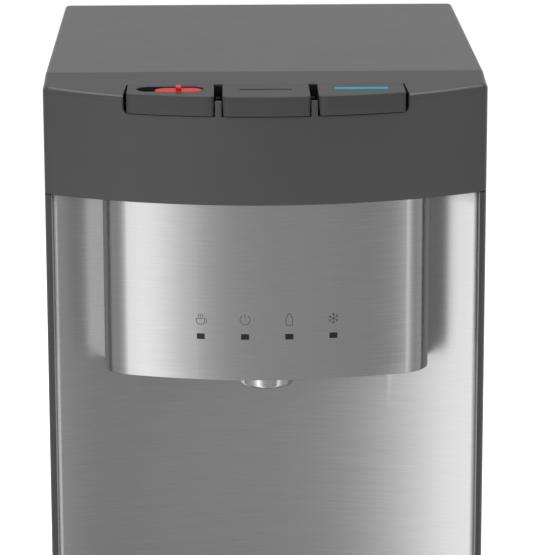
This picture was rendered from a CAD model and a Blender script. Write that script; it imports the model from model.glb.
import math

import bmesh
import bpy
from mathutils import Matrix, Vector


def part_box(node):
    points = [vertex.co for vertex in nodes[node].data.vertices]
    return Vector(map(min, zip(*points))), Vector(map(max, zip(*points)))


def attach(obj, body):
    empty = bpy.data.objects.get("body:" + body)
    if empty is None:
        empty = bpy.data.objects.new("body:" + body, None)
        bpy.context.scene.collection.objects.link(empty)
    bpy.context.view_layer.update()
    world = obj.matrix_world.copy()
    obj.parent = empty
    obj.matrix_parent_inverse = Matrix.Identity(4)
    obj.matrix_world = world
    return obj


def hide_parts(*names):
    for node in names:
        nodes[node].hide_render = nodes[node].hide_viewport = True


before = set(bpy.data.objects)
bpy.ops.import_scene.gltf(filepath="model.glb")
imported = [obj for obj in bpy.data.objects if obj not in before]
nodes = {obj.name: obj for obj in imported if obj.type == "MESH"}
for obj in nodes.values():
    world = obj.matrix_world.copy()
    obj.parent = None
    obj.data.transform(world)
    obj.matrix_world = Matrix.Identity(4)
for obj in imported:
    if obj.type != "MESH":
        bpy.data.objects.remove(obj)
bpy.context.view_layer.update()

MM = 0.001
scene = bpy.context.scene


# ---- places taken from the CAD model, in millimetres ----

def low(node):
    return [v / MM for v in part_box(node)[0]]


def high(node):
    return [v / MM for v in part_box(node)[1]]


TOP = high("top_cover")[2]
HALF = high("top_cover")[0]
BACK = high("top_cover")[1]
BOW = 38
# The cabinet's front line, from which the head bows forward.
FY = low("front_fascia")[1] + BOW
HEAD_Z = low("front_fascia")[2]
BEZEL_Z = high("base_bezel")[2]
BEZEL_LOW = low("base_bezel")[2]
BEZEL_BACK = high("base_bezel")[1]
NOSE_Z = low("nose_cover")[2]
NOSE_TOP = high("nose_cover")[2]
NOSE_HALF = high("nose_cover")[0]
BUTTON_TOP = high("room_button")[2]
BUTTON_LIP = TOP - 16

BOW_R = 300
BOW_CY = FY + (BOW_R - BOW)
CORNER_R = 8
# The bow is sampled to here; its round corner follows.
HEAD_EDGE = 147
CREASE = FY + 46
SLOPE = math.tan(math.radians(4))
RIM_H = 2.6
SKIRT_H = 20
SILL_Z = TOP - 17
SLOT_REAR = FY + 10.15
SLOT_HALF = (98.6, 96.7)
BUTTON_R = BOW_R + 3
BUTTON_HALF = 30.1
HINGE_Y = FY + 6
SPLASH_R = 420
SPLASH_DEPTH = 44.2
SPLASH_CY = FY + (SPLASH_DEPTH - SPLASH_R)
STRIP_W = 4.6
STEEL_T = 0.8
NOSE_R = BOW_R - 3.5
NOSE_CORNER = 26
LAMP_Z = TOP - 173
LAMP_PITCH = 30.8
LAMP = (5.6, 4.0)
PITCH = 65.95


def slope_z(y, drop=0.0):
    return TOP - max(0.0, CREASE - y) * SLOPE - drop


# ---- materials ----

def material(name):
    m = bpy.data.materials.new(name)
    m.use_nodes = True
    nt = m.node_tree
    return m, nt, nt.nodes["Principled BSDF"]


def link(nt, a, b):
    nt.links.new(a, b)


def node(nt, kind, **values):
    n = nt.nodes.new(kind)
    for key, value in values.items():
        if key in n.inputs:
            n.inputs[key].default_value = value
        else:
            setattr(n, key, value)
    return n


def noise(nt, coords, scale, detail=3.0, stretch=None):
    source = coords
    if stretch:
        mapping = node(nt, "ShaderNodeMapping")
        mapping.inputs["Scale"].default_value = stretch
        link(nt, coords, mapping.inputs["Vector"])
        source = mapping.outputs["Vector"]
    n = node(nt, "ShaderNodeTexNoise", Scale=scale, Detail=detail)
    link(nt, source, n.inputs["Vector"])
    return n.outputs["Fac"]


def spread(nt, value, lo, hi, from_lo=0.3, from_hi=0.7):
    n = node(nt, "ShaderNodeMapRange")
    for key, v in (("From Min", from_lo), ("From Max", from_hi), ("To Min", lo), ("To Max", hi)):
        n.inputs[key].default_value = v
    link(nt, value, n.inputs["Value"])
    return n.outputs["Result"]


def shade(nt, bsdf, colour, value, amount):
    """Base colour that varies by the fraction amount with a 0 to 1 value."""
    mix = node(nt, "ShaderNodeMix", data_type="RGBA")
    mix.inputs[6].default_value = [c * (1 - amount) for c in colour] + [1]
    mix.inputs[7].default_value = [min(1, c * (1 + amount)) for c in colour] + [1]
    link(nt, value, mix.inputs[0])
    link(nt, mix.outputs[2], bsdf.inputs["Base Color"])


def bump(nt, bsdf, value, strength, distance):
    n = node(nt, "ShaderNodeBump", Strength=strength, Distance=distance)
    link(nt, value, n.inputs["Height"])
    link(nt, n.outputs["Normal"], bsdf.inputs["Normal"])


def object_coords(nt):
    return node(nt, "ShaderNodeTexCoord").outputs["Object"]


def plastic(name, colour, rough, grain=1100, depth=0.00006, amount=0.06, level=0.5, coat=0.0, cloud=0.045):
    m, nt, bsdf = material(name)
    coords = object_coords(nt)
    bsdf.inputs["Specular IOR Level"].default_value = level
    bsdf.inputs["Coat Weight"].default_value = coat
    bsdf.inputs["Coat Roughness"].default_value = 0.12
    shade(nt, bsdf, colour, spread(nt, noise(nt, coords, 14, 4), 0, 1), amount)
    link(nt, spread(nt, noise(nt, coords, 60, 3), rough - cloud, rough + cloud), bsdf.inputs["Roughness"])
    bump(nt, bsdf, noise(nt, coords, grain, 2), 0.35, depth)
    return m


def brushed(name, colour, rough, stretch, anisotropy=0.0, amount=0.1, depth=0.00002):
    m, nt, bsdf = material(name)
    coords = object_coords(nt)
    bsdf.inputs["Metallic"].default_value = 1.0
    if anisotropy:
        bsdf.inputs["Anisotropic"].default_value = anisotropy
        bsdf.inputs["Anisotropic Rotation"].default_value = 0.25
        tangent = node(nt, "ShaderNodeTangent", direction_type="RADIAL", axis="Z")
        link(nt, tangent.outputs["Tangent"], bsdf.inputs["Tangent"])
    fine = noise(nt, coords, 1.0, 5, stretch)
    lines = spread(nt, fine, 0, 1)
    shade(nt, bsdf, colour, lines, amount)
    link(nt, spread(nt, lines, rough - 0.02, rough + 0.03, 0, 1), bsdf.inputs["Roughness"])
    bump(nt, bsdf, fine, 0.12, depth)
    return m


HORIZONTAL = (35, 35, 2200)
LENGTHWISE = (22, 1500, 1500)
steel = brushed("brushed_steel", (0.62, 0.62, 0.625), 0.29, HORIZONTAL, 0.75, 0.07)
steel_flat = brushed("brushed_steel_flat", (0.6, 0.6, 0.605), 0.28, LENGTHWISE)
bright = brushed("turned_steel", (0.72, 0.72, 0.73), 0.14, HORIZONTAL, 0.0, 0.05)
dull = plastic("oiled_steel", (0.03, 0.03, 0.03), 0.6)
tank_steel = brushed("tank_steel", (0.5, 0.5, 0.5), 0.35, HORIZONTAL)
head_grey = plastic("head_plastic", (0.052, 0.052, 0.053), 0.48, amount=0.03, cloud=0.012)
top_grey = plastic("top_plastic", (0.056, 0.056, 0.057), 0.36, amount=0.02, cloud=0.008)
button_grey = plastic("button_plastic", (0.05, 0.05, 0.051), 0.42, amount=0.02, level=0.2, cloud=0.008)
side_paint = plastic("side_paint", (0.045, 0.045, 0.046), 0.42, 700, 0.00008, 0.03, cloud=0.015)
zinc = plastic("zinc_sheet", (0.3, 0.31, 0.32), 0.45, 160, 0.00004, 0.06, cloud=0.025)
black = plastic("black_plastic", (0.012, 0.012, 0.013), 0.5)
gloss_black = plastic("black_enamel", (0.01, 0.01, 0.011), 0.3, 400, 0.00003, 0.1, 0.5, 0.4)
rubber = plastic("rubber", (0.018, 0.018, 0.018), 0.75, 900, 0.0001)
red = plastic("red_plastic", (0.62, 0.014, 0.014), 0.4, 900, 0.00002, 0.05, 0.2)
teal = plastic("teal_plastic", (0.004, 0.34, 0.44), 0.5, 900, 0.00002, 0.05, 0.05)
green = plastic("green_plastic", (0.02, 0.25, 0.05), 0.32, 900, 0.00002, 0.05)
line_grey = plastic("line_plastic", (0.022, 0.022, 0.022), 0.7, 900, 0.00002, 0.05, 0.1)
print_grey = plastic("printed_mark", (0.05, 0.05, 0.052), 0.6, 900, 0.00001, 0.1)
lens = plastic("smoked_lens", (0.008, 0.008, 0.008), 0.12, 900, 0.00001, 0.1, 0.5, 0.3)
board = plastic("circuit_board", (0.01, 0.1, 0.03), 0.35, 500, 0.00005, 0.2)
ivory = plastic("ivory_plastic", (0.6, 0.56, 0.45), 0.45)
white = plastic("white_plastic", (0.7, 0.7, 0.69), 0.4)
milky = plastic("silicone", (0.62, 0.62, 0.58), 0.3)
foam = plastic("foam", (0.75, 0.75, 0.72), 0.9, 260, 0.0006)
copper = brushed("copper_tube", (0.72, 0.32, 0.18), 0.3, (200, 200, 200))
mica = plastic("mica_band", (0.24, 0.13, 0.06), 0.4, 120, 0.0001, 0.3)


# ---- mesh helpers, in millimetres ----

def finish_mesh(obj, angle=32):
    """Applies the modifiers and shades smooth, but for edges over the angle and flats with many sides."""
    graph = bpy.context.evaluated_depsgraph_get()
    mesh = bpy.data.meshes.new_from_object(obj.evaluated_get(graph))
    mesh.name = obj.name
    obj.modifiers.clear()
    obj.data = mesh
    mesh.set_sharp_from_angle(angle=math.radians(angle))
    for p in mesh.polygons:
        p.use_smooth = len(p.vertices) <= 6


def round_edges(obj, width, segments=2, angle=40):
    bevel = obj.modifiers.new("edge", "BEVEL")
    bevel.width, bevel.segments = width * MM, segments
    bevel.limit_method, bevel.angle_limit = "ANGLE", math.radians(angle)


def piece(name, verts, faces, mat, body, wall=0.0, edge=0.0, facing=None, slot=None, stands_for=(),
          angle=32):
    """A library piece. Its faces are turned outwards, or towards facing, and then given a wall thickness."""
    mesh = bpy.data.meshes.new(name)
    mesh.from_pydata([Vector(v) * MM for v in verts], [], faces)
    obj = bpy.data.objects.new(name, mesh)
    scene.collection.objects.link(obj)
    bm = bmesh.new()
    bm.from_mesh(mesh)
    bmesh.ops.remove_doubles(bm, verts=bm.verts, dist=2e-6)
    bmesh.ops.dissolve_degenerate(bm, edges=bm.edges, dist=1e-6)
    bmesh.ops.recalc_face_normals(bm, faces=bm.faces)
    middle = sum((v.co for v in bm.verts), Vector()) / len(bm.verts)
    towards = sum((f.normal.dot(Vector(facing) if facing else f.calc_center_median() - middle) * f.calc_area()
                   for f in bm.faces), 0.0)
    if towards < 0:
        bmesh.ops.reverse_faces(bm, faces=bm.faces)
    bm.to_mesh(mesh)
    bm.free()
    mesh.materials.append(mat)
    if wall:
        solid = obj.modifiers.new("wall", "SOLIDIFY")
        solid.thickness, solid.offset, solid.use_even_offset = wall * MM, -1, True
    if edge:
        round_edges(obj, edge)
    finish_mesh(obj, angle)
    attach(obj, body)
    if stands_for:
        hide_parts(*stands_for)
    return obj


def strip_faces(rows, columns, closed=False, skip=None):
    """Faces of a grid whose vertices run row by row."""
    faces = []
    for r in range(rows - 1):
        for c in range(columns if closed else columns - 1):
            if skip and skip(r, c):
                continue
            a, b = r * columns + c, r * columns + (c + 1) % columns
            faces.append((a, a + columns, b + columns, b))
    return faces


def arc(cx, cy, r, start, end, steps, first=True):
    """Points on an arc; angles in degrees from -Y towards +X."""
    out = []
    for i in range(0 if first else 1, steps + 1):
        a = math.radians(start + (end - start) * i / steps)
        out.append((cx + r * math.sin(a), cy - r * math.cos(a)))
    return out


def line(a, b, steps):
    """Points from a to b without a itself."""
    return [(a[0] + (b[0] - a[0]) * i / steps, a[1] + (b[1] - a[1]) * i / steps) for i in range(1, steps + 1)]


def mirror(points):
    return [(-x, y) for x, y in reversed(points)]


def bow_y(r, x):
    return BOW_CY - math.sqrt(r * r - x * x)


def bow_half(r, half, corner, inset, xs, corner_steps=10):
    """Right half of a bowed plan: the given x positions on the bow, then the round corner."""
    r, half, corner = r - inset, half - inset, corner - inset
    turn = math.degrees(math.asin((half - corner) / (r - corner)))
    cy = BOW_CY - (r - corner) * math.cos(math.radians(turn))
    end = r * math.sin(math.radians(turn))
    front = [(x, bow_y(r, x)) for x in xs if x < end - 0.5]
    return front + arc(half - corner, cy, corner, turn, 90, corner_steps)


def steps_between(a, b, n):
    return [a + (b - a) * i / n for i in range(n + 1)]


def ringed_plate(outer, hole):
    """Two faces between an outer loop and a hole, which are lists of (index, x, y) that turn the same way."""
    def at(loop, side):
        return max(range(len(loop)), key=lambda i: side * loop[i][1])

    def walk(loop, a, b):
        n = len(loop)
        out = [loop[a][0]]
        while a != b:
            a = (a + 1) % n
            out.append(loop[a][0])
        return out

    def level_with(point, side):
        """The outer point at the same side that is nearest in y to a point of the hole."""
        edge = outer[at(outer, side)][1]
        off = [(x - edge) ** 2 * 9 + (y - point[2]) ** 2 for _, x, y in outer]
        return off.index(min(off))

    left, right = hole[at(hole, -1)], hole[at(hole, 1)]
    out_l, out_r = level_with(left, -1), level_with(right, 1)
    in_l, in_r = hole.index(left), hole.index(right)
    front = walk(outer, out_l, out_r) + walk(hole, in_l, in_r)[::-1]
    rear = walk(outer, out_r, out_l) + walk(hole, in_r, in_l)[::-1]
    return [front, rear]


def fillet_steps(radius, n):
    """Inset and drop of each ring of a rounded top edge, from the flat top outwards."""
    turns = [math.radians(90 * k / n) for k in range(n + 1)]
    return [(radius * (1 - math.sin(a)), radius * (1 - math.cos(a))) for a in turns]


def cap_piece(name, plan, top, bottom, fillet, mat, body, **more):
    """A closed solid with a rounded top edge from a closed plan, given as a function of inset."""
    verts, rings = [], 0
    for inset, drop in fillet_steps(fillet, 5):
        verts += [(x, y, top - drop) for x, y in plan(inset)]
        rings += 1
    verts += [(x, y, bottom + 0.25) for x, y in plan(0)] + [(x, y, bottom) for x, y in plan(0.25)]
    rings += 2
    n = len(verts) // rings
    faces = strip_faces(rings, n, closed=True)
    faces += [list(range(n)), list(range((rings - 1) * n, rings * n))]
    return piece(name, verts, faces, mat, body, **more)


def pill(cx, cy, length, width, inset=0.0, steps=14):
    r = width / 2 - inset
    run = (length - width) / 2
    right = arc(cx + run, cy, r, 0, 180, steps)
    left = arc(cx - run, cy, r, 180, 360, steps)
    return right + left


def block(cx, cy, length, width, corner, inset=0.0):
    """Closed plan of a rectangle with round corners."""
    hx, hy, r = length / 2 - corner, width / 2 - corner, max(corner - inset, 0.05)
    out = []
    for sx, sy, start in ((1, -1, 0), (1, 1, 90), (-1, 1, 180), (-1, -1, 270)):
        out += arc(cx + sx * hx, cy + sy * hy, r, start, start + 90, 6)
    return out


# ---- top cover ----

SLOT_X = SLOT_HALF[0]
HEAD_X = steps_between(SLOT_X, HEAD_EDGE, 10)


def cover_ring(inset):
    side_x, back_y, back_r = HALF - inset, BACK - inset, 5 - min(inset, 4)
    right = bow_half(BOW_R, HALF, CORNER_R, inset, HEAD_X)
    right += line(right[-1], (side_x, CREASE), 4)
    right.append((side_x, CREASE + 0.2))
    right += line(right[-1], (side_x, back_y - back_r), 8)
    right += arc(side_x - back_r, back_y - back_r, back_r, 90, 180, 5, False)
    return mirror(right) + right


def top_shell():
    flat = cover_ring(0)
    n, half = len(flat), len(flat) // 2
    rows = []
    for k in range(8):
        ring = []
        for i, (x0, y0) in enumerate(flat):
            soft = 2.3 + min(2.2, (abs(x0) - SLOT_X) * 0.044) * min(1, max(0, (CREASE - y0) / 40))
            inset, drop = fillet_steps(soft, 7)[k]
            x, y = cover_ring(inset)[i]
            ring.append((x, y, slope_z(y, drop)))
        rows.append(ring)
    last = rows[-1]
    for share in (0.5, 1.0):
        ring = []
        for i, (x, y) in enumerate(flat):
            end = slope_z(y, RIM_H) if y <= CREASE + 0.01 else TOP - SKIRT_H
            ring.append((x, y, last[i][2] + min(0, end - last[i][2]) * share))
        rows.append(ring)
    verts = [v for ring in rows for v in ring]
    faces = strip_faces(len(rows), n, closed=True, skip=lambda r, c: c == half - 1)
    at = [i for i, p in enumerate(flat) if abs(p[1] - CREASE) < 1e-6]
    base = len(verts)
    verts += [(x, SLOT_REAR, slope_z(SLOT_REAR)) for x in (SLOT_HALF[1], -SLOT_HALF[1])]
    ring = list(range(n))
    faces.append(ring[at[0]:half] + [base + 1, base] + ring[half:at[1] + 1])
    faces.append(ring[:at[0] + 1] + ring[at[1]:])
    shell = piece("top_shell", verts, faces, top_grey, "cabinet", 2.3, 0.25, slot="top_plastic",
                  stands_for=["top_cover"])
    for e in shell.data.edges:
        ends = [shell.data.vertices[v].co / MM for v in e.vertices]
        if all(abs(p[1] - CREASE) < 0.05 and p[2] > TOP - 2.4 for p in ends):
            e.use_edge_sharp = True


# ---- head front with the button windows ----

MULLION = (PITCH / 2 - 2.2, PITCH / 2 + 2.2)
WINDOW_R = 4
FRONT_END = CREASE - 0.15


def fascia():
    xs = steps_between(0, MULLION[0], 5) + [MULLION[0]] + steps_between(MULLION[0], MULLION[1], 1)
    xs += [MULLION[1]] + steps_between(MULLION[1], SLOT_X - WINDOW_R, 9)[1:]
    xs += [SLOT_X - WINDOW_R + WINDOW_R * math.sin(math.radians(a)) for a in range(15, 91, 15)] + [SLOT_X]
    xs += steps_between(SLOT_X, HEAD_EDGE, 8)[1:]

    def plan(inset):
        right = bow_half(BOW_R, HALF, CORNER_R, inset, xs)
        right += line(right[-1], (HALF - inset, FRONT_END), 4)
        return mirror(right[1:]) + right

    outline = plan(0)
    n, middle = len(outline), len(outline) // 2
    sills, tops = [], []
    for i, (x, y) in enumerate(outline):
        ax = abs(x)
        inner = outline[i - 1 if i > middle else min(i + 1, n - 1)][0]
        repeat = i != middle and abs(x - inner) < 1e-6
        outer = ax > SLOT_X + 0.01 or (abs(ax - SLOT_X) < 0.01 and repeat)
        starts, ends = (abs(ax - edge) < 0.01 for edge in MULLION)
        between = MULLION[0] + 0.01 < ax < MULLION[1] - 0.01
        on_mullion = between or (starts and repeat) or (ends and not repeat)
        sill = SILL_Z
        if ax > SLOT_X - WINDOW_R:
            run = min(WINDOW_R, ax - SLOT_X + WINDOW_R)
            sill = SILL_Z + WINDOW_R - math.sqrt(max(0, WINDOW_R ** 2 - run ** 2))
        sills.append(sill)
        tops.append(slope_z(y, RIM_H) if outer else slope_z(y, 0.4) if on_mullion else sill)
    verts = []
    soft, below = 1.3, SILL_Z - 4
    for inset, rise in fillet_steps(soft, 4):
        verts += [(x, y, HEAD_Z + rise) for x, y in plan(inset)]
    for share in (0.33, 0.66, 1.0):
        verts += [(x, y, HEAD_Z + soft + (below - HEAD_Z - soft) * share) for x, y in outline]
    for share in (0.5, 1.0):
        verts += [(x, y, below + (sills[i] - below) * share) for i, (x, y) in enumerate(outline)]
    for share in (0.5, 1.0):
        verts += [(x, y, sills[i] + max(0, tops[i] - sills[i]) * share) for i, (x, y) in enumerate(outline)]
    faces = strip_faces(len(verts) // n, n)
    under = list(range(n))
    gap = 0.3
    nose = bow_half(NOSE_R + gap, NOSE_HALF + gap, NOSE_CORNER + gap, 0, steps_between(0, 86, 20))
    nose += line(nose[-1], (NOSE_HALF + gap, FRONT_END), 3)
    inner = mirror(nose[1:]) + nose
    base = len(verts)
    verts += [(x, y, HEAD_Z) for x, y in inner]
    faces.append(under + list(range(base, base + len(inner)))[::-1])
    piece("head_front", verts, faces, head_grey, "cabinet", 2.4, 0.35, slot="grey_plastic",
          stands_for=["front_fascia"])


# ---- steel panel and nose ----

def splash():
    edge_x = HALF - STRIP_W - STEEL_T
    bend = 0.4
    reach = math.sqrt(SPLASH_R ** 2 - edge_x ** 2) + SPLASH_CY
    xs = steps_between(-edge_x + bend, -90, 24) + steps_between(-90, 90, 60)[1:]
    xs += steps_between(90, edge_x - bend, 24)[1:]
    middle = [(x, SPLASH_CY + math.sqrt(SPLASH_R ** 2 - x * x)) for x in xs]
    turns = [math.radians(a) for a in (30, 60, 90)]
    right = [(edge_x - bend + bend * math.sin(a), reach - bend + bend * math.cos(a)) for a in turns]
    right += line((edge_x, reach - bend), (edge_x, FY + 3), 5)
    path = mirror(right) + middle + right
    zs = [BEZEL_Z, BEZEL_Z + 60, BEZEL_Z + 120, BEZEL_Z + 180, NOSE_Z + 8, NOSE_Z + 60, NOSE_Z + 112, HEAD_Z]
    verts = [(x, y, z) for z in zs for x, y in path]

    def cut(r, c):
        return 4 <= r < 6 and abs(path[c][0] + path[c + 1][0]) / 2 < 90
    piece("splash_sheet", verts, strip_faces(len(zs), len(path), skip=cut), steel, "cabinet", 0.7, 0.15,
          facing=(0, -1, 0), slot="steel", stands_for=["splash_panel"])


def lamp_angles():
    return [math.asin((i - 1.5) * LAMP_PITCH / NOSE_R) for i in range(4)]


def nose_path(inset=0.0):
    """Plan of the nose from its left to its right edge, and how many of its points come before the bow."""
    half_lamp = math.asin(LAMP[0] / 2 / NOSE_R)
    marks = sorted([a - half_lamp for a in lamp_angles()] + [a + half_lamp for a in lamp_angles()])
    turn = math.asin((NOSE_HALF - NOSE_CORNER) / (NOSE_R - NOSE_CORNER))
    angles = []
    for a, b in zip([-turn] + marks, marks + [turn]):
        angles += [a + (b - a) * k / 6 for k in range(6)]
    angles.append(turn)
    bow = [((NOSE_R - inset) * math.sin(a), BOW_CY - (NOSE_R - inset) * math.cos(a)) for a in angles]
    cx = NOSE_HALF - NOSE_CORNER
    cy = BOW_CY - (NOSE_R - NOSE_CORNER) * math.cos(turn)
    right = arc(cx, cy, NOSE_CORNER - inset, math.degrees(turn), 90, 24, False)
    stop = SPLASH_CY + math.sqrt((SPLASH_R - 0.15) ** 2 - NOSE_HALF ** 2)
    right += line(right[-1], (NOSE_HALF - inset, stop), 6)
    return mirror(right) + bow + right, len(right)


def nose():
    path, offset = nose_path()
    n = len(path)
    zs = [NOSE_Z + 0.8, NOSE_Z + 12, LAMP_Z - LAMP[1] / 2, LAMP_Z + LAMP[1] / 2] + \
        steps_between(LAMP_Z + 14, NOSE_TOP, 4)
    verts = []
    for inset, rise in fillet_steps(0.75, 4)[1:-1]:
        verts += [(x, y, NOSE_Z + rise) for x, y in nose_path(inset)[0]]
    low_rows = len(verts) // n
    verts += [(x, y, z) for z in zs for x, y in path]
    lamp_columns = {offset + 6 + 12 * i + k for i in range(4) for k in range(6)}

    def window(r, c):
        return r == low_rows + 2 and c in lamp_columns
    piece("nose_sheet", verts, strip_faces(low_rows + len(zs), n, skip=window), steel, "cabinet", 0.75, 0.12,
          facing=(0, -1, 0), slot="steel", stands_for=["nose_cover"], angle=20)


def spun(name, profile, centre, mat, body, steps=96, **more):
    """A closed profile of (radius, z) points turned round a vertical axis."""
    turns = [2 * math.pi * c / steps for c in range(steps)]
    verts = [(centre[0] + r * math.cos(a), centre[1] + r * math.sin(a), z)
             for r, z in profile + profile[:1] for a in turns]
    return piece(name, verts, strip_faces(len(profile) + 1, steps, closed=True), mat, body, **more)


def nozzle():
    r, z = high("nozzle_ring")[0], low("nozzle_ring")[2]
    tip_r = 2.4
    turns = [math.radians(a) for a in range(0, 91, 10)]
    tip = [(r - tip_r + tip_r * math.sin(a), z + tip_r - tip_r * math.cos(a)) for a in turns]
    collar = [(r, NOSE_Z + 0.2), (r - 2.2, NOSE_Z + 0.2), (r - 2.2, NOSE_Z + 8), (r - 3, NOSE_Z + 8)]
    profile = [(r - 3, z + 1), (r - 2.8, z + 0.2)] + tip + collar
    spun("nozzle_bezel", profile, (0, FY - 5), bright, "cabinet", edge=0.1, slot="bright_steel",
         stands_for=["nozzle_ring"])


# ---- base, tray and grille ----

TRAY_R = 302
TRAY_HALF = 116.4
TRAY_Y = FY + 23.4


def bezel():
    """Bowed skirt round the tray bay, with a soft top edge."""
    gap = 0.6
    xs = steps_between(0, TRAY_HALF + gap, 22) + steps_between(TRAY_HALF + gap, HEAD_EDGE, 6)[1:]

    def plan(inset):
        right = bow_half(BOW_R, HALF, CORNER_R, inset, xs)
        right += line(right[-1], (HALF - inset, BEZEL_BACK - 0.1), 6)
        return mirror(right[1:]) + right
    outline = plan(0)
    n, middle = len(outline), len(outline) // 2
    open_half = len([x for x in xs if x <= TRAY_HALF + gap + 0.01]) - 1
    low_z, cut_z = BEZEL_LOW, low("drip_tray")[2] - 0.5
    verts = []
    for inset, drop in fillet_steps(1.6, 4):
        verts += [(x, y, BEZEL_Z - drop) for x, y in plan(inset)]
    verts += [(x, y, cut_z) for x, y in outline] + [(x, y, low_z + 1) for x, y in outline]
    verts += [(x, y, low_z) for x, y in plan(1)]

    bay_rows = 5

    def bay(r, c):
        return r < bay_rows and middle - open_half <= c < middle + open_half
    faces = strip_faces(len(verts) // n, n, skip=bay)
    left, right = middle - open_half, middle + open_half
    corners = len(verts)
    edge = TRAY_HALF + gap
    verts += [(-edge, TRAY_Y + gap, BEZEL_Z), (edge, TRAY_Y + gap, BEZEL_Z), (-edge, TRAY_Y + gap, cut_z),
              (edge, TRAY_Y + gap, cut_z)]
    faces.append(list(range(0, left + 1)) + [corners, corners + 1] + list(range(right, n)))
    side = [k * n for k in range(bay_rows + 1)]
    faces.append([left + k for k in side] + [corners + 2, corners])
    faces.append([right + k for k in side][::-1] + [corners + 1, corners + 3])
    faces.append([corners, corners + 2, corners + 3, corners + 1])
    faces.append([bay_rows * n + c for c in range(left, right + 1)] + [corners + 3, corners + 2])
    piece("base_skirt", verts, faces, head_grey, "cabinet", 2.3, 0.3, slot="grey_plastic",
          stands_for=["base_bezel"])


def bowed_plan(r, half, back, corner, inset, steps=40):
    """Closed plan with a bowed front between square sides whose corners are slightly rounded."""
    r, half, back = r - inset, half - inset, back - inset
    c = max(corner - inset, 0.05)
    edge = half - c
    front = [(x, bow_y(r, x)) for x in steps_between(-edge, edge, steps)]
    fy = bow_y(r, half) + c
    return front + arc(edge, fy, c, 25, 90, 4) + arc(edge, back - c, c, 90, 180, 4) + \
        arc(-edge, back - c, c, 180, 270, 4) + arc(-edge, fy, c, 270, 335, 4)


def tray():
    z0, z1 = low("drip_tray")[2], high("drip_tray")[2]
    ledge = z1 - 3.7
    outside = [(1, z0), (0.3, z0 + 0.3), (0, z0 + 1), (0, z1 - 0.8), (0.25, z1 - 0.25), (0.8, z1)]
    rim = [(1.5, z1 - 0.15), (1.8, z1 - 0.6), (1.8, ledge), (3.6, ledge)]
    rings = outside + rim + [(3.6, z0 + 4), (4.0, z0 + 2.9), (5, z0 + 2.5)]
    verts = [(x, y, z) for inset, z in rings for x, y in bowed_plan(TRAY_R, TRAY_HALF, TRAY_Y, 2.5, inset)]
    n = len(verts) // len(rings)
    faces = strip_faces(len(rings), n, closed=True)
    faces += [list(range(n)), list(range(len(verts) - n, len(verts)))]
    piece("tray_bin", verts, faces, head_grey, "drip_tray", slot="grey_plastic", stands_for=["drip_tray"])


def grille():
    """Steel plate with long slots, its rim lower than the tray's."""
    z0, z1 = low("drip_grille")[2], high("drip_grille")[2]
    edge = TRAY_HALF - high("drip_grille")[0]

    def front(x):
        return bow_y(TRAY_R, x) + 9

    def slot_loop(x):
        f, b = front(x), TRAY_Y - 8
        return arc(x, f + 2, 2, -90, 90, 6) + arc(x, b - 2, 2, 90, 270, 6)
    verts, faces = [], []
    slots, pitch, margin = 26, 8, 7
    xs = [(i - (slots - 1) / 2) * pitch for i in range(slots)]
    bounds = [xs[0] - pitch / 2] + [x + pitch / 2 for x in xs]
    back = TRAY_Y - edge
    for x, a, b in zip(xs, bounds, bounds[1:]):
        cell = [(px, bow_y(TRAY_R - edge, px)) for px in (a, x, b)]
        cell += [(b, front(x)), (b, back - margin), (b, back), (x, back), (a, back), (a, back - margin)]
        cell.append((a, front(x)))
        hole = slot_loop(x)
        start = len(verts)
        verts += [(px, py, z1) for px, py in cell + hole]
        outer = [(start + k, px, py) for k, (px, py) in enumerate(cell)]
        inner = [(start + len(cell) + k, px, py) for k, (px, py) in enumerate(hole)]
        faces += ringed_plate(outer, inner)
    for side in (-1, 1):
        start = len(verts)
        e = side * (TRAY_HALF - edge)
        b = bounds[0] if side < 0 else bounds[-1]
        x_near = xs[0] if side < 0 else xs[-1]
        row = [(px, bow_y(TRAY_R - edge, px)) for px in (b, e)]
        row += [(e, back), (b, back), (b, back - margin), (b, front(x_near))]
        verts += [(px, py, z1) for px, py in row]
        faces.append(list(range(start, start + len(row))))
    piece("grille_plate", verts, faces, steel_flat, "drip_grille", z1 - z0, 0.4, facing=(0, 0, 1),
          slot="steel", stands_for=["drip_grille"])


# ---- buttons and the red lock ----

def button_plan(x0, x1, inset):
    """Closed plan of a button and the lengths of its front and right side; repeated points end the lip."""
    rc, rr, rear = 3.6, 0.5, FY + 10
    r = BUTTON_R - inset
    ends = []
    for side, x in ((-1, x0), (1, x1)):
        cx = x - side * rc
        cy = BOW_CY - math.sqrt((BUTTON_R - rc) ** 2 - cx * cx)
        ends.append((cx, cy, math.degrees(math.asin(cx / (BUTTON_R - rc)))))
    (lx, ly, la), (rx, ry, ra) = ends
    c = rc - inset
    turns = [math.radians(a) for a in steps_between(la, ra, 16)]
    front = [(r * math.sin(a), BOW_CY - r * math.cos(a)) for a in turns]
    right_corner = arc(rx, ry, c, ra, 90, 5, False)
    left_corner = arc(lx, ly, c, -90, la, 5)[:-1]

    def side(x, sign):
        lip = bow_y(BUTTON_R - 2.4, x) + 2.4
        round_hinge = (-3.4, -2.7, -2.05, -1.4, -0.7, 0, 0.7, 1.4, 2.05, 2.7)
        ys = [lip, lip, FY - 1, FY - 1, FY + 2] + [HINGE_Y + v for v in round_hinge]
        return [(x - sign * inset, y) for y in ys]
    back_r = rr - min(inset, rr - 0.1)
    right = side(x1, 1) + arc(x1 - inset - back_r, rear - inset - back_r, back_r, 90, 180, 3)
    left = arc(x0 + inset + back_r, rear - inset - back_r, back_r, 180, 270, 3) + side(x0, -1)[::-1]
    out = left_corner + front + right_corner + right + left
    return out, len(left_corner) + len(front) + len(right_corner), len(right)


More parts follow.
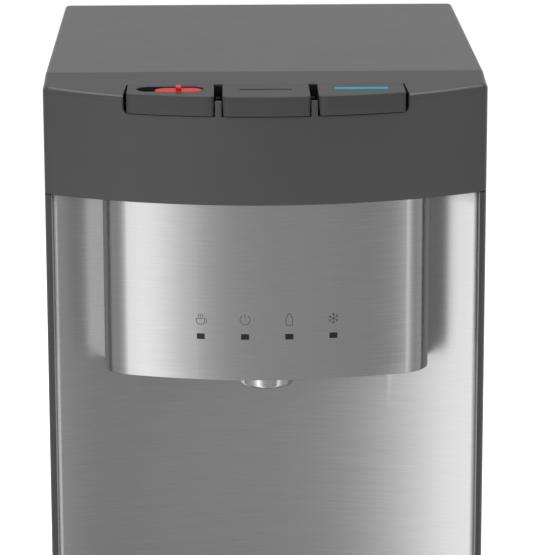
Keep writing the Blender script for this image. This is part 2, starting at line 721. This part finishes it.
def button(name, i, hole):
    x0 = i * PITCH - BUTTON_HALF
    x1 = x0 + 2 * BUTTON_HALF
    soft = 1.1
    hole_r, ear_r = 2.05, 4
    side_points, hinge_from, hinge_to = 15, 7, 13
    plan, nf, nr = button_plan(x0, x1, 0)
    n = len(plan)
    top = BUTTON_TOP
    verts = []
    for step in range(6):
        for k, (x, y) in enumerate(plan):
            inset, drop = fillet_steps(soft if y < FY + 8 else 0.25, 5)[step]
            verts.append((*button_plan(x0, x1, inset)[0][k], top - drop))
    skirt, lip = top - 7, BUTTON_LIP

    def level(k, row):
        x, y = plan[k]
        j = k - nf if k < nf + nr else n - 1 - k
        on_side = k >= nf and j < side_points
        if (on_side and j <= 2) or (k < nf and y - bow_y(BUTTON_R, x) > 2.2):
            return skirt
        if not on_side or j < 4:
            return lip
        hole_h = math.sqrt(max(0, hole_r ** 2 - (y - HINGE_Y) ** 2))
        ear_h = math.sqrt(max(0, ear_r ** 2 - (y - HINGE_Y) ** 2))
        return lip + (hole_h, -hole_h, -ear_h)[row]
    verts += [(x, y, skirt) for x, y in plan]
    for row in range(3):
        verts += [(x, y, level(k, row)) for k, (x, y) in enumerate(plan)]

    def pin(r, c):
        a = c - nf if c < nf + nr else n - 1 - (c + 1)
        return r == 7 and hinge_from <= a < hinge_to and c >= nf
    faces = strip_faces(len(verts) // n, n, closed=True, skip=pin)
    base = len(verts)
    verts += [(x, y, top) for x, y in hole]
    outer = [(k, verts[k][0], verts[k][1]) for k in range(n)]
    inner = [(base + k, x, y) for k, (x, y) in enumerate(hole)]
    faces += ringed_plate(outer, inner)
    piece(name + "_cap", verts, faces, button_grey, name, 1.9, 0.22, slot="button_plastic", stands_for=[name])


def hole_around(node, gap=0.1):
    (x0, y0, _), (x1, y1, _) = low(node), high(node)
    return block((x0 + x1) / 2, (y0 + y1) / 2, x1 - x0 + 2 * gap, y1 - y0 + 2 * gap, 0.5)


def strip(node, mat, slot, body):
    (x0, y0, z0), (x1, y1, z1) = low(node), high(node)

    def plan(inset):
        return block((x0 + x1) / 2, (y0 + y1) / 2, x1 - x0, y1 - y0, 0.5, inset)
    cap_piece(node + "_bar", plan, z1, z0, 0.15, mat, body, slot=slot, stands_for=[node])


def lock():
    (x0, y0, z0), (x1, y1, z1) = low("lock_slider"), high("lock_slider")
    cx, cy = (x0 + x1) / 2, (y0 + y1) / 2
    plate_top = BUTTON_TOP - 0.6

    def plate(inset):
        return pill(cx, cy, x1 - x0, y1 - y0, inset)

    def tab(inset):
        return block(cx, FY - 9.65, 3.8, 11.7, 1.2, inset)
    verts, faces = [], []
    for plan, top, bottom in ((plate, plate_top, z0), (tab, z1, plate_top - 0.4)):
        start, rings = len(verts), 0
        for inset, drop in fillet_steps(0.9, 5):
            verts += [(x, y, top - drop) for x, y in plan(inset)]
            rings += 1
        verts += [(x, y, bottom) for x, y in plan(0)]
        rings += 1
        n = (len(verts) - start) // rings
        faces += [[start + v for v in f] for f in strip_faces(rings, n, closed=True)]
        faces += [list(range(start, start + n)), list(range(start + (rings - 1) * n, start + rings * n))]
    piece("lock_slide_tab", verts, faces, red, "lock_slider", slot="red_plastic", stands_for=["lock_slider"])


# ---- marks over the lamps ----

def ribbon(points, width, closed=False):
    """Left and right edges of a line of even width through flat points."""
    n = len(points)
    left, right = [], []
    for i, (x, y) in enumerate(points):
        ahead = points[(i + 1) % n] if closed or i < n - 1 else None
        behind = points[i - 1] if closed or i > 0 else None
        dirs = []
        for a, b in ((behind, (x, y)), ((x, y), ahead)):
            if a and b:
                d = math.hypot(b[0] - a[0], b[1] - a[1])
                dirs.append(((b[0] - a[0]) / d, (b[1] - a[1]) / d))
        nx = -sum(d[1] for d in dirs) / len(dirs)
        ny = sum(d[0] for d in dirs) / len(dirs)
        size = nx * nx + ny * ny
        nx, ny = nx / max(size, 0.3) * width / 2, ny / max(size, 0.3) * width / 2
        left.append((x + nx, y + ny))
        right.append((x - nx, y - ny))
    return left, right


def oval(cx, cy, rx, ry, start=0, end=360, steps=20):
    return [(cx + rx * math.sin(math.radians(start + (end - start) * k / steps)),
             cy + ry * math.cos(math.radians(start + (end - start) * k / steps))) for k in range(steps + 1)]


def icon_lines():
    """For each mark its lines, as (points, closed), in millimetres from the mark's middle."""
    bowl = [(-3.2, 0.6), (-2.9, -1.8), (-2.2, -3.0), (-1.2, -3.6)]
    bowl += [(0.9, -3.6), (1.9, -3.0), (2.6, -1.8), (2.9, 0.6)]
    cup = [(bowl, True), (oval(2.9, -1.1, 1.5, 1.25, 20, 165, 10), False)]
    for x in (-1.6, -0.1, 1.4):
        cup.append(([(x + 0.35 * math.sin(t * 1.6), 1.5 + t * 0.55) for t in range(5)], False))
    power = [(oval(0, 0, 3.5, 3.5, 35, 325, 30), False), ([(0, 0.4), (0, 4.1)], False)]
    half_bottle = [(-2.3, -4), (-2.3, 1.2), (-0.9, 3.2), (-0.9, 4.2)]
    bottle = [(half_bottle + mirror(half_bottle), True)]
    flake = []
    for k in range(3):
        a = math.radians(60 * k)
        end = (3.9 * math.sin(a), 3.9 * math.cos(a))
        flake.append(([end, (-end[0], -end[1])], False))
    for k in range(6):
        a = math.radians(60 * k)
        tip = (2.3 * math.sin(a), 2.3 * math.cos(a))
        for bend in (-0.75, 0.75):
            end = (tip[0] + 1.5 * math.sin(a + bend), tip[1] + 1.5 * math.cos(a + bend))
            flake.append(([tip, end], False))
    return [cup, power, bottle, flake]


def marks():
    skin, line_width, rise = NOSE_R + 0.07, 0.42, 12.2
    for i, (lines, angle) in enumerate(zip(icon_lines(), lamp_angles())):
        verts, faces = [], []
        for points, closed in lines:
            left, right = ribbon(points, line_width, closed)
            n, start = len(points), len(verts)
            for s, z in [p for pair in zip(left, right) for p in pair]:
                t = angle + s / NOSE_R
                verts.append((skin * math.sin(t), BOW_CY - skin * math.cos(t), LAMP_Z + rise + z))
            for k in range(n if closed else n - 1):
                a, b = start + 2 * k, start + 2 * ((k + 1) % n)
                faces.append((a, a + 1, b + 1, b))
        piece("mark_%d" % (i + 1), verts, faces, print_grey, "cabinet", 0.05, facing=(0, -1, 0),
              slot="line_print")


top_shell()
fascia()
splash()
nose()
nozzle()
bezel()
tray()
grille()
LOCK_SLOT = (-66.2, FY - 8.4, 47.5, 19.6)
button("hot_button", -1, pill(*LOCK_SLOT))
button("room_button", 0, hole_around("room_strip"))
button("cold_button", 1, hole_around("cold_strip"))
strip("room_strip", line_grey, "line_print", "room_button")
strip("cold_strip", teal, "teal_plastic", "cold_button")
lock()
marks()


# ---- camera ----

def camera():
    data = bpy.data.cameras.new("camera")
    cam = bpy.data.objects.new("camera", data)
    scene.collection.objects.link(cam)
    focal_px, frame_h = 3111.3, 555
    data.sensor_width = 36
    data.lens = focal_px * data.sensor_width / frame_h
    data.clip_end = 50
    pitch, yaw, roll = (math.radians(v) for v in (13.8075, 0.8838, -0.1804))
    forward = Vector((math.sin(yaw) * math.cos(pitch), math.cos(yaw) * math.cos(pitch), -math.sin(pitch)))
    right = Vector((math.cos(yaw), -math.sin(yaw), 0))
    up = right.cross(forward)
    x_axis = right * math.cos(roll) + up * math.sin(roll)
    y_axis = up * math.cos(roll) - right * math.sin(roll)
    turn = Matrix((x_axis, y_axis, -forward)).transposed().to_4x4()
    place = Vector((-32.63, FY - 2125.77, TOP + 383.62)) * MM
    cam.matrix_world = Matrix.Translation(place) @ turn
    scene.camera = cam


camera()


# ---- studio ----

# Brightness of the studio round the dispenser, by direction in degrees: 0 in front, positive to the right.
SKY = ((-180, 0.9), (-120, 0.473), (-85, 0.351), (-65, 0.433), (-52, 0.691), (-44, 1.01), (-38, 1.67),
       (-32, 1.4), (-27, 1.01), (-22, 0.73), (-17, 0.529), (-11, 0.408), (-5, 0.375), (5, 0.354),
       (20, 0.338), (34, 0.298), (41, 0.364), (48, 1.04), (56, 0.729), (64, 0.503), (76, 0.359),
       (110, 0.574), (140, 1.05), (180, 0.9))
SKY_STRENGTH = 1.5


def studio():
    world = bpy.data.worlds.new("studio")
    scene.world = world
    world.use_nodes = True
    nt = world.node_tree
    nt.nodes.clear()
    out = node(nt, "ShaderNodeOutputWorld")
    seen = node(nt, "ShaderNodeBackground", Strength=1.0)
    seen.inputs["Color"].default_value = (1, 1, 1, 1)
    around = node(nt, "ShaderNodeBackground", Strength=SKY_STRENGTH)
    mix = node(nt, "ShaderNodeMixShader")
    path = node(nt, "ShaderNodeLightPath")
    direction = node(nt, "ShaderNodeTexCoord").outputs["Generated"]
    split = node(nt, "ShaderNodeSeparateXYZ")
    link(nt, direction, split.inputs[0])
    back = node(nt, "ShaderNodeMath", operation="MULTIPLY")
    back.inputs[1].default_value = -1
    link(nt, split.outputs["Y"], back.inputs[0])
    azimuth = node(nt, "ShaderNodeMath", operation="ARCTAN2")
    link(nt, split.outputs["X"], azimuth.inputs[0])
    link(nt, back.outputs[0], azimuth.inputs[1])
    share = spread(nt, azimuth.outputs[0], 0, 1, -math.pi, math.pi)
    ramp = node(nt, "ShaderNodeValToRGB")
    elements = ramp.color_ramp.elements
    ramp.color_ramp.interpolation = "CARDINAL"
    while len(elements) > 1:
        elements.remove(elements[-1])
    for i, (angle, value) in enumerate(SKY):
        e = elements[0] if i == 0 else elements.new((angle + 180) / 360)
        e.position = (angle + 180) / 360
        e.color = (value / SKY_STRENGTH,) * 3 + (1,)
    link(nt, share, ramp.inputs["Fac"])
    upper = node(nt, "ShaderNodeValToRGB")
    for e, (height, value) in zip(upper.color_ramp.elements, ((0.45, 0.1), (0.85, 0.35))):
        e.position = height
        e.color = (value,) * 3 + (1,)
    link(nt, split.outputs["Z"], upper.inputs["Fac"])
    blend = node(nt, "ShaderNodeMix", data_type="RGBA")
    link(nt, spread(nt, split.outputs["Z"], 0, 1, 0.17, 0.31), blend.inputs[0])
    link(nt, upper.outputs["Color"], blend.inputs[7])
    link(nt, ramp.outputs["Color"], blend.inputs[6])
    link(nt, blend.outputs[2], around.inputs["Color"])
    link(nt, path.outputs["Is Camera Ray"], mix.inputs[0])
    link(nt, around.outputs[0], mix.inputs[1])
    link(nt, seen.outputs[0], mix.inputs[2])
    link(nt, mix.outputs[0], out.inputs["Surface"])


def floor():
    size, steps = 6000, 12
    spots = [size * (k / steps - 0.5) for k in range(steps + 1)]
    verts = [(x, y, 0) for y in spots for x in spots]
    mesh = bpy.data.meshes.new("floor")
    mesh.from_pydata([Vector(v) * MM for v in verts], [], strip_faces(steps + 1, steps + 1))
    obj = bpy.data.objects.new("floor", mesh)
    scene.collection.objects.link(obj)
    m, nt, bsdf = material("floor_paper")
    bsdf.inputs["Roughness"].default_value = 0.9
    bsdf.inputs["Emission Strength"].default_value = 0.6
    bsdf.inputs["Emission Color"].default_value = (1, 1, 1, 1)
    shade(nt, bsdf, (0.88, 0.88, 0.88), noise(nt, object_coords(nt), 3), 0.01)
    mesh.materials.append(m)
    obj.visible_glossy = False


def soft_light(name, place, target, size, power, in_reflections=True):
    data = bpy.data.lights.new(name, "AREA")
    data.shape, data.size, data.size_y, data.energy = "RECTANGLE", size[0], size[1], power
    obj = bpy.data.objects.new(name, data)
    scene.collection.objects.link(obj)
    obj.location = place
    obj.rotation_mode = "QUATERNION"
    obj.rotation_quaternion = (Vector(target) - Vector(place)).to_track_quat("-Z", "Y")
    obj.visible_glossy = in_reflections


studio()
floor()
soft_light("overhead", (0, 0.3, 2.4), (0, 0, 0.3), (2.2, 1.8), 38)
soft_light("front_fill", (-1, -2.6, 1), (0, 0, 0.4), (1.6, 1.2), 28, in_reflections=False)
scene.view_settings.view_transform = "Standard"

CAD_LOOKS = {
    "base_pan": zinc, "rubber_feet": rubber, "side_panel_left": side_paint, "side_panel_right": side_paint,
    "rear_panel": zinc, "front_fascia": head_grey, "splash_panel": steel, "base_bezel": head_grey,
    "drip_tray": head_grey, "drip_grille": steel_flat, "nose_cover": steel, "nose_housing": black,
    "nozzle_ring": bright, "nozzle_core": black, "cold_spout_tube": milky, "hot_spout_tube": milky,
    "indicator_lenses": lens, "indicator_board": board, "button_carrier": black, "button_shaft": dull,
    "hot_button": button_grey, "room_button": button_grey, "cold_button": button_grey, "lock_track": black,
    "lock_slider": red, "room_strip": line_grey, "cold_strip": teal, "hot_spring": bright,
    "room_spring": bright, "cold_spring": bright, "hot_switch": black, "room_switch": black,
    "cold_switch": black, "hot_plunger": red, "room_plunger": red, "cold_plunger": red, "valve_bank": ivory,
    "cold_tank": tank_steel, "cold_insulation": foam, "evaporator_coil": copper, "hot_tank": tank_steel,
    "heater_band": mica, "hot_jacket": foam, "compressor": gloss_black, "compressor_mounts": rubber,
    "condenser_tube": gloss_black, "condenser_wires": gloss_black, "condenser_clips": black,
    "filter_cartridge": white, "filter_head": white, "water_lines": milky, "control_board": board,
    "power_inlet": black, "rocker_frames": black, "power_rocker": green, "heat_rocker": red,
    "inlet_fitting": white, "drain_cap": white, "screws": bright, "top_cover": top_grey,
}
# CAD parts that stay on show get softly rounded edges.
ROUNDED = {
    "rubber_feet": 0.8, "side_panel_left": 0.3, "side_panel_right": 0.3, "rear_panel": 0.3, "base_pan": 0.3,
    "lock_track": 0.3, "nose_housing": 0.3, "nozzle_core": 0.3, "power_inlet": 0.5, "rocker_frames": 0.4,
    "power_rocker": 0.5, "heat_rocker": 0.5, "inlet_fitting": 0.4, "drain_cap": 0.6, "condenser_clips": 0.5,
    "cold_spout_tube": 0.2, "hot_spout_tube": 0.2, "indicator_lenses": 0.3, "screws": 0.3,
    "button_carrier": 0.3,
}
for name, width in ROUNDED.items():
    round_edges(nodes[name], width, 2, 45)
for name, mat in CAD_LOOKS.items():
    slots = nodes[name].data.materials
    if len(slots):
        for i in range(len(slots)):
            slots[i] = mat
    else:
        slots.append(mat)
